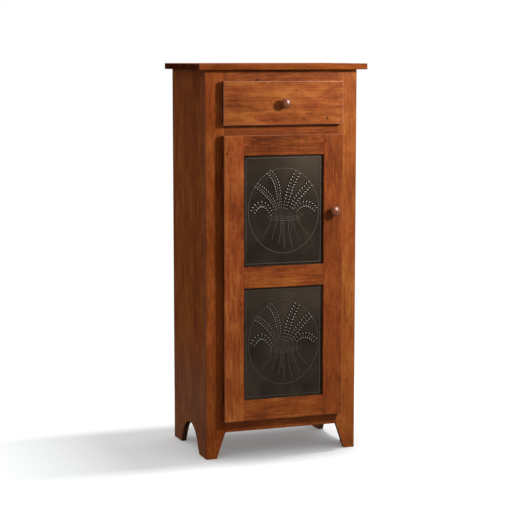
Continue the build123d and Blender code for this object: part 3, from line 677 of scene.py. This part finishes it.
# The ears run from the tip to the neck, as (across, up, size of a grain) in millimetres. Those on
# the left are slim, with small grains beside a punched spine. Each stem runs from the tie to the
# foot after the size of its punch, and fine necks run through the tie.
broad_ears = (
    ((-113, -1, 2.2), (-106, 11, 2.4), (-96, 20, 2.4), (-83, 25, 2.3), (-69, 21, 2.2),
     (-57, 9, 1.9), (-47, -6, 1.6), (-43, -12, 1.5)),
    ((52, 130, 2.3), (41, 111, 2.5), (32, 95, 2.6), (25, 78, 2.5), (20, 62, 2.4), (15, 44, 2.2),
     (9, 23, 1.8), (6, 7, 1.5)),
    ((99, 90, 2.3), (83, 76, 2.5), (71, 64, 2.5), (59, 51, 2.4), (47, 37, 2.2), (36, 20, 1.9),
     (30, 9, 1.6)),
    ((119, 0, 2.1), (105, 14, 2.3), (89, 20, 2.3), (74, 20, 2.2), (60, 15, 1.9), (50, 3, 1.6)))
slim_ears = (
    ((-98, 89, 1.7), (-80, 76, 1.9), (-64, 62, 1.9), (-51, 48, 1.8), (-39, 32, 1.6), (-31, 15, 1.4),
     (-30, 4, 1.2)),
    ((-54, 134, 1.8), (-36, 116, 2.0), (-28, 99, 2.0), (-23, 84, 1.9), (-20, 67, 1.8),
     (-17, 47, 1.6), (-14, 24, 1.4), (-13, 10, 1.2)))
wheat_stems = (
    (1.5, ((-47, -32), (-49, -49), (-60, -66), (-72, -82))),
    (1.5, ((-24, -33), (-30, -55), (-37, -80), (-43, -100))),
    (2.0, ((-10, -36), (-10, -76), (-17, -110))),
    (2.1, ((1, -37), (1, -77), (3, -127))),
    (1.8, ((17, -36), (19, -60), (23, -90), (35, -133))),
    (1.6, ((34, -36), (40, -62), (50, -84), (64, -109))),
    (1.6, ((52, -31), (64, -54), (78, -72), (94, -87))),
    (1.5, ((-4, -36), (-5, -62), (-6, -88))),
    (1.5, ((26, -38), (29, -52), (32, -68))))
wheat_necks = (
    ((-43, -14), (-44, -32)), ((-30, 1), (-28, -33)), ((-22, 3), (-21, -33)),
    ((-13, 8), (-11, -34)), ((-5, 8), (-4, -35)), ((6, 4), (1, -36)), ((14, 5), (12, -36)),
    ((22, 2), (19, -36)), ((30, 5), (30, -36)), ((40, 4), (37, -34)), ((50, 0), (50, -31)))
tie_rows = (
    ((-58, -17), (-40, -20), (-11, -19), (27, -23), (50, -19), (70, -10)),
    ((-56, -24), (-40, -27), (-11, -27), (27, -30), (50, -26), (72, -18)),
    ((-50, -31), (-38, -34), (-11, -35), (27, -37), (46, -34), (64, -26)))


def punch_line(curve, points, sizes, closed=False, smooth=True):
    """Adds a punched line to a curve. Its radius is the punch's size, which spaces the strokes."""
    line = curve.splines.new("NURBS" if smooth else "POLY")
    line.points.add(len(points) - 1)
    for point, place, size in zip(line.points, points, sizes):
        point.co = (*place, 1)
        point.radius = size
    line.use_cyclic_u = closed
    if smooth:
        line.order_u = 3
        line.use_endpoint_u = not closed


def pattern_curve(name):
    curve = bpy.data.curves.new(name, "CURVE")
    curve.dimensions = "3D"
    curve.resolution_u = 16
    return stand(name, curve)


def punching():
    """Joins a sheet with a boss at each stroke of its lines, and with grains beside each ear.

    Spacings and offsets are in sizes of the punch, which is each line's radius.
    """
    tree = bpy.data.node_groups.new("punching", "GeometryNodeTree")
    add_sockets(tree, "INPUT", "Geometry", "Geometry")
    add_sockets(
        tree, "INPUT", "Object", "Lines", "Stems", "Broad ears", "Slim ears", "Dot", "Bead",
        "Grain", "Dot dent", "Grain dent")
    add_sockets(
        tree, "INPUT", "Float", "Dot spacing", "Bead spacing", "Broad spacing", "Slim spacing",
        "Broad offset", "Slim offset", "Broad lean", "Slim lean", "Middle size", "Thickness")
    add_sockets(tree, "INPUT", "Material", "Finish")
    add_sockets(tree, "OUTPUT", "Geometry", "Geometry")
    given = add_node(tree, "NodeGroupInput").outputs
    radius = add_node(tree, "GeometryNodeInputRadius").outputs[0]
    tangent = add_node(tree, "GeometryNodeInputTangent").outputs[0]
    turned = add_node(
        tree, "FunctionNodeAlignRotationToVector", {"Vector": tangent}, axis="X", pivot_axis="Y")

    def shape_of(socket):
        shape = add_node(tree, "GeometryNodeObjectInfo", {"Object": given[socket]})
        return shape.outputs["Geometry"]

    def strokes(lines, spacing, mark):
        """A mark at every step along the lines, turned along them."""
        step = maths(tree, "MULTIPLY", radius, spacing)
        walk = add_node(
            tree, "GeometryNodeResampleCurve", {"Curve": lines, "Length": step}, mode="LENGTH")
        return add_node(tree, "GeometryNodeInstanceOnPoints", {
            "Points": walk.outputs[0], "Instance": mark, "Rotation": turned.outputs[0],
            "Scale": radius}).outputs[0]

    def join(shapes):
        joined = add_node(tree, "GeometryNodeJoinGeometry")
        for shape in shapes:
            tree.links.new(shape, joined.inputs[0])
        return joined.outputs[0]

    def one_side(dot, bead, grain):
        """All the marks of one face, given its three kinds of mark."""
        marks = [
            strokes(shape_of("Lines"), given["Dot spacing"], shape_of(dot)),
            strokes(shape_of("Stems"), given["Bead spacing"], shape_of(bead))]
        for kind in ("Broad", "Slim"):
            ears = shape_of(kind + " ears")
            for side in (-1.0, 0.0, 1.0):
                offset = maths(tree, "MULTIPLY", given[kind + " offset"], side)
                lean = maths(tree, "MULTIPLY", given[kind + " lean"], side)
                size = 1.0 if side else given["Middle size"]
                placed = add_node(tree, "GeometryNodeTransform", {
                    "Geometry": shape_of(grain), "Translation": vector_of(tree, Z=offset),
                    "Rotation": vector_of(tree, Y=lean),
                    "Scale": vector_of(tree, X=size, Y=size, Z=size)})
                marks.append(strokes(ears, given[kind + " spacing"], placed.outputs[0]))
        return join(marks)

    dents = add_node(tree, "GeometryNodeTransform", {
        "Geometry": one_side("Dot dent", "Dot dent", "Grain dent"),
        "Translation": vector_of(tree, Y=given["Thickness"])}).outputs[0]
    punched = join((given["Geometry"], one_side("Dot", "Bead", "Grain"), dents))
    real = add_node(tree, "GeometryNodeRealizeInstances", {"Geometry": punched})
    finished = add_node(tree, "GeometryNodeSetMaterial", {
        "Geometry": real.outputs[0], "Material": given["Finish"]})
    add_node(tree, "NodeGroupOutput", {"Geometry": finished.outputs[0]})
    return tree


def set_inputs(modifier, values):
    """Sets a modifier's named inputs by their sockets' identifiers."""
    for item in modifier.node_group.interface.items_tree:
        if item.item_type == "SOCKET" and item.in_out == "INPUT" and item.name in values:
            modifier[item.identifier] = values[item.name]


def patina(name, painted_lightening, sheen_place, sheen_reach, sheen_strength, crest_wear_and_highlight):
    """A dark bronze patina, darker round the foot of each boss with dirt and painted shade, and
    paler where it stands up with wear and a painted highlight.

    One argument lightens it all over as painted light, most on the lower tin. Round one place it is
    painted paler and browner, a painted sheen. The last argument is how bright the bosses are.
    """
    stops = ((0.32, (0.0162, 0.0124, 0.0094)), (0.70, (0.0345, 0.0250, 0.0178)))
    # The bare colour is bare metal and a painted highlight, the dirt colour dirt and painted shade.
    sheen_colour, bare_and_highlight_colour = (0.085, 0.062, 0.043), (0.42, 0.375, 0.31)
    dirt_and_shade, dirt_and_shade_colour = 0.85, (0.006, 0.005, 0.004)
    material, tree, coordinates = new_finish(name)
    place = coordinates["Object"]
    cloud = noise(tree, place, scale=9.0, detail=4.0, roughness=0.55, twist=0.4)["Fac"]
    speck = noise(tree, place, scale=900.0, detail=2.0)["Fac"]
    colour = colour_scale(tree, cloud, [
        (position, [part * painted_lightening for part in shade]) for position, shade in stops])

    # A painted sheen: paler and browner round one place.
    from_place = vector_maths(tree, "SUBTRACT", place, sheen_place)
    from_place = vector_maths(tree, "MULTIPLY", from_place, (1.0, 0.0, 1.0))
    painted_sheen = fade(tree, vector_maths(tree, "LENGTH", from_place), sheen_reach, 0.0, sheen_strength)
    painted_sheen = maths(tree, "MULTIPLY", painted_sheen, maths(tree, "ADD", cloud, 0.5))
    colour = mix_colours(tree, painted_sheen, colour, sheen_colour)
    # The stamps' values brighten crests, with wear and a painted highlight, and darken feet, with
    # dirt and painted shade.
    raised = add_node(tree, "ShaderNodeAttribute", attribute_name="rubbed").outputs["Fac"]
    for amount, painted_light_and_wear_colour in ((crest_wear_and_highlight, bare_and_highlight_colour), (-dirt_and_shade, dirt_and_shade_colour)):
        painted_light_and_wear_mask = maths(tree, "MAXIMUM", maths(tree, "MULTIPLY", raised, amount), 0.0)
        colour = mix_colours(tree, painted_light_and_wear_mask, colour, painted_light_and_wear_colour)

    least_rough, speck_rough, cloud_rough = 0.36, 0.16, 0.1
    rough = maths(
        tree, "ADD", maths(tree, "MULTIPLY", speck, speck_rough),
        maths(tree, "MULTIPLY", cloud, cloud_rough))
    swell = noise(tree, place, scale=5.0, detail=1.0)["Fac"]
    buckled = bumps(tree, swell, strength=1.0, distance=0.012)
    return lay_on(material, {
        "Base Color": colour, "Metallic": 0.22, "Specular IOR Level": 0.0,
        "Roughness": maths(tree, "ADD", rough, least_rough),
        "Normal": bumps(tree, speck, strength=0.15, distance=0.0001, Normal=buckled)})


def tin_sheet(name, low, high):
    """A closed thin flat sheet, finely enough divided to be buckled afterwards."""
    columns, rows = 30, 38
    mesh = bmesh.new()

    def face_of(y):
        return [[mesh.verts.new((
            low.x + (high.x - low.x) * column / columns, y, low.z + (high.z - low.z) * row / rows))
            for column in range(columns + 1)] for row in range(rows + 1)]

    front, back = face_of(low.y), face_of(high.y)
    for row in range(rows):
        for column in range(columns):
            for side in (front, back):
                mesh.faces.new((
                    side[row][column], side[row][column + 1], side[row + 1][column + 1],
                    side[row + 1][column]))
    rims = [(front[0], back[0]), (front[-1], back[-1])]
    rims += [([line[end] for line in front], [line[end] for line in back]) for end in (0, -1)]
    for near, far in rims:
        for step in range(len(near) - 1):
            mesh.faces.new((near[step], near[step + 1], far[step + 1], far[step]))
    return shaped(name, mesh)


def buckle(sheet, low, high):
    """Bends a sheet and its bosses a little out of flat together, but not its rim in the rabbet."""
    depth, rim_steepness = 0.00035, 8
    wave_across, wave_start, wave_up, wave_turn = 4.1, 1.3, 5.3, 2.0
    for point in sheet.vertices:
        u, v = (point.co.x - low.x) / (high.x - low.x), (point.co.z - low.z) / (high.z - low.z)
        free = max(0.0, min(1.0, rim_steepness * min(u, 1 - u, v, 1 - v))) ** 2
        wave = math.sin(wave_across * u + wave_start), math.cos(wave_up * v + wave_turn * u)
        point.co.y += depth * free * wave[0] * wave[1]


punching_tree = punching()


def punched_tin(node, painted_lightening, sheen_aside, sheen_reach, sheen_strength, crest_wear_and_highlight):
    """A tin that replaces its plain sheet, with the pattern in the middle of its window."""
    low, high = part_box(node)
    middle = (low + high) / 2
    lines, stems, broad, slim = (
        pattern_curve("punch_" + kind) for kind in ("lines", "stems", "broad_ears", "slim_ears"))

    def placed(points):
        """Points of the pattern, in millimetres from its middle, on the face of the sheet."""
        return [(middle.x + x / 1000, low.y, middle.z + z / 1000) for x, z in points]

    def dotted(points, radius, closed=False, smooth=True):
        punch_line(lines.data, placed(points), [radius] * len(points), closed, smooth)

    x, z = (1000 * ((most - least) / 2 - tin_rabbet - border_inset)
            for least, most in ((low.x, high.x), (low.z, high.z)))
    dotted(((-x, -z), (x, -z), (x, z), (-x, z)), border_radius, closed=True, smooth=False)
    angles = [2 * math.pi * step / oval_points for step in range(oval_points)]
    dotted([(
        1000 * (oval_middle[0] + oval_half[0] * math.cos(angle)),
        1000 * (oval_middle[1] + oval_half[1] * math.sin(angle))) for angle in angles],
        border_radius, closed=True)
    for size, points in wheat_stems:
        punch_line(stems.data, placed(points), [size / 1000] * len(points))
    for points in tie_rows:
        dotted(points, tie_radius)
    for points in wheat_necks:
        dotted(points, neck_radius, smooth=False)
    for curve, ears in ((broad, broad_ears), (slim, slim_ears)):
        for ear in ears:
            spine = placed([(x, z) for x, z, size in ear])
            punch_line(curve.data, spine, [size / 1000 for x, z, size in ear])
            if curve is slim:
                punch_line(stems.data, spine, [spine_radius] * len(ear))

    sheet = tin_sheet(node + "_sheet", low, high)
    punches = sheet.modifiers.new("punching", "NODES")
    punches.node_group = punching_tree
    set_inputs(punches, {
        "Lines": lines, "Stems": stems, "Broad ears": broad, "Slim ears": slim, "Dot": dot_stamp,
        "Bead": bead_stamp, "Grain": grain_stamp, "Dot dent": dot_dent, "Grain dent": grain_dent,
        "Thickness": high.y - low.y, "Dot spacing": 3.4, "Bead spacing": 3.4, "Broad spacing": 4.7,
        "Slim spacing": 5.4, "Broad offset": 3.5, "Slim offset": 4.3,
        "Broad lean": math.radians(52), "Slim lean": math.radians(38), "Middle size": 0.45,
        "Finish": patina(
            "patina_" + node, painted_lightening, middle + Vector(sheen_aside), sheen_reach, sheen_strength,
            crest_wear_and_highlight)})
    solid = bpy.data.meshes.new_from_object(
        sheet.evaluated_get(bpy.context.evaluated_depsgraph_get()))
    buckle(solid, low, high)
    piece = stand("punched_" + node, solid)
    for helper in (sheet, lines, stems, broad, slim):
        bpy.data.objects.remove(helper)
    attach(piece, "door")
    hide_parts(node)


# The lower tin is painted paler all over than the upper one, as painted light, and each tin has its
# painted sheen round its own place.
punched_tin(
    "upper_tin", painted_lightening=1.06, sheen_aside=(0.085, 0, 0.175), sheen_reach=0.19, sheen_strength=0.58,
    crest_wear_and_highlight=0.8)
punched_tin(
    "lower_tin", painted_lightening=1.42, sheen_aside=(0.01, 0, 0.22), sheen_reach=0.28, sheen_strength=0.31,
    crest_wear_and_highlight=0.58)
for helper in (dot_stamp, bead_stamp, grain_stamp, dot_dent, grain_dent):
    bpy.data.objects.remove(helper)


# ---------------------------------------------------------------- drawer front
# One wide board of the same stained cherry, with lively figure, rounded over on its four front
# edges and screwed on from inside the box.

# Its arrises show a paler line, partly wear and partly a painted highlight.
stained_board(
    "drawer_front", "XZY", 115.0, stave=0.2, tone=-0.05, marks=0.6, handled=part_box("drawer_front"))


# ---------------------------------------------------------------- turned knobs
# Two mushroom knobs, turned from one piece, stained darker than the boards and lacquered to a
# shine. The foot ring stands on the wood and the neck is hollowed below a flattened round head.

def knob_finish():
    material, tree, coordinates = new_finish("knob_lacquer")
    streaks_to_metre = (260.0, 40.0, 90.0)
    drawn = vector_maths(tree, "MULTIPLY", coordinates["Object"], streaks_to_metre)
    streak = noise(tree, drawn, scale=1.0, detail=3.0)["Fac"]
    least_rough, streak_rough = 0.3, 0.1
    return lay_on(material, {
        "Base Color": mix_colours(tree, streak, (0.125, 0.031, 0.009), (0.225, 0.064, 0.022)),
        "Roughness": maths(tree, "ADD", maths(tree, "MULTIPLY", streak, streak_rough), least_rough),
        "Specular IOR Level": 0.0, "Coat Weight": 0.34, "Coat Roughness": 0.22})


knob_lacquer = knob_finish()


def knob_profile(radius, length):
    """Half the outline of a knob, from the wood to just before its tip, as (radius, height)."""
    head_half, head_steps, waist_steps = 0.0095, 20, 12
    foot_radius, foot_height, foot_round, neck_radius = 0.0110, 0.0015, 0.0004, 0.0085
    head_place = length - head_half
    shoulder_angle = math.radians(-42)
    shoulder = (
        radius * math.cos(shoulder_angle), head_place + head_half * math.sin(shoulder_angle))
    waist = (2 * neck_radius - (foot_radius + shoulder[0]) / 2, (foot_height + shoulder[1]) / 2)
    profile = [
        (foot_radius - foot_round, 0.0), (foot_radius, foot_round),
        (foot_radius, foot_height - foot_round), (foot_radius - foot_round, foot_height)]
    for step in range(1, waist_steps):
        t = step / waist_steps
        profile.append(tuple(
            (1 - t) ** 2 * start + 2 * t * (1 - t) * bend + t * t * end
            for start, bend, end in zip((foot_radius, foot_height), waist, shoulder)))
    for step in range(head_steps):
        angle = shoulder_angle + (math.pi / 2 - shoulder_angle) * step / head_steps
        profile.append((radius * math.cos(angle), head_place + head_half * math.sin(angle)))
    return profile


def turned_knob(node, body):
    """A smoothly turned knob that replaces its plainer solid."""
    knob_sides = 48
    low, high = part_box(node)
    middle = (low + high) / 2
    mesh = bmesh.new()
    loops = [
        ring_of(mesh, knob_sides, lambda angle: (
            middle.x + reach * math.cos(angle), high.y - height,
            middle.z + reach * math.sin(angle)))
        for reach, height in knob_profile((high.x - low.x) / 2, high.y - low.y)]
    join_rings(mesh, loops)
    tip = mesh.verts.new((middle.x, low.y, middle.z))
    for step in range(knob_sides):
        mesh.faces.new((loops[-1][step], loops[-1][(step + 1) % knob_sides], tip))
    mesh.faces.new(loops[0])
    for face in mesh.faces:
        face.smooth = len(face.verts) <= 4
    piece = shaped("turned_" + node, mesh)
    piece.data.materials.append(knob_lacquer)
    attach(piece, body)
    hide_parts(node)


turned_knob("door_knob", "door")
turned_knob("drawer_knob", "drawer")

# A wide card at the front right, which only the lacquer mirrors, lays a soft window of light on
# each head.
knob_card = soft_box(
    "knob_card", place=(1.15, -1.76, 1.70), aim=(0.05, -0.19, 1.1), size=(1.0, 1.4), watts=150)
knob_card.visible_diffuse = False
mirrored = bpy.data.collections.new("mirrors_knob_card")
knob_card.light_linking.receiver_collection = mirrored
for name in ("turned_door_knob", "turned_drawer_knob"):
    mirrored.objects.link(bpy.data.objects[name])
